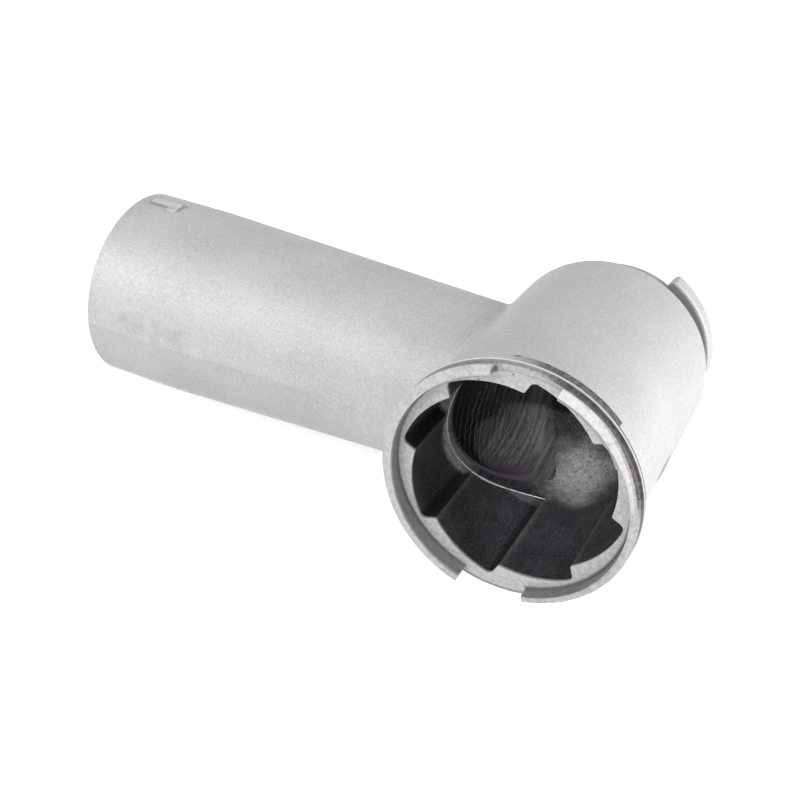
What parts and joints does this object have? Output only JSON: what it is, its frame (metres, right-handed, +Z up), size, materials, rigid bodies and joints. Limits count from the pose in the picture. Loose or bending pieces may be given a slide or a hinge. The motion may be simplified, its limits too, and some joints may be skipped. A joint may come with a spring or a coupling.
{
  "type": "meat grinder head",
  "caption": "Cast aluminium grinder head: a barrel with a toothed mouth and raised rim, a side feed tube and a rear locking neck.",
  "frame": {"origin": "on the barrel axis, in the plane of the flat tooth face at the front mouth", "axes": "+X along the feed tube away from the barrel; +Y along the barrel axis, out of the front mouth; +Z up as it lies on its side"},
  "size_m": [0.2007, 0.1052, 0.0775],
  "materials": {
    "casting": "tumbled die casting, satin"
  },
  "bodies": {
    "root": {"housing": "casting"}
  },
  "joints": []
}
